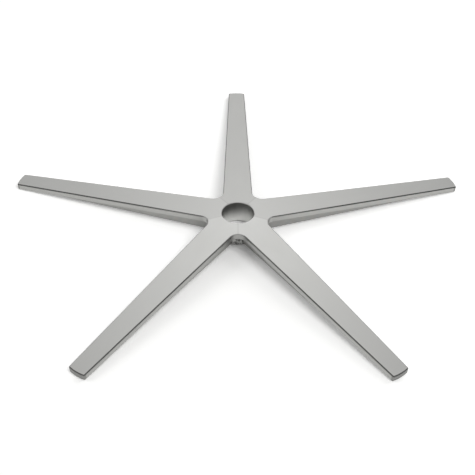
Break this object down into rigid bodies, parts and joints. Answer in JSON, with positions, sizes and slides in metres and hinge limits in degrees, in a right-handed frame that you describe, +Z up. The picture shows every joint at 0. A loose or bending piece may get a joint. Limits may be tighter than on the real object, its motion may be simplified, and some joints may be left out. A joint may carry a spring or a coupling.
{
  "type": "office chair five star base",
  "caption": "Low star-shaped swivel chair base: an aluminium casting of sloping, tapering legs round a tapered column socket, with glide seats under the leg tips.",
  "frame": {"origin": "on the column socket's axis, in the plane of the five glide pads that the base stands on", "axes": "+Z up along the column socket, +Y along one leg"},
  "size_m": [0.7022, 0.6691, 0.0375],
  "materials": {
    "cast_aluminium": "satin polished casting, plain cast skin inside the socket and underneath"
  },
  "bodies": {
    "root": {"star_base": "cast_aluminium"}
  },
  "joints": []
}
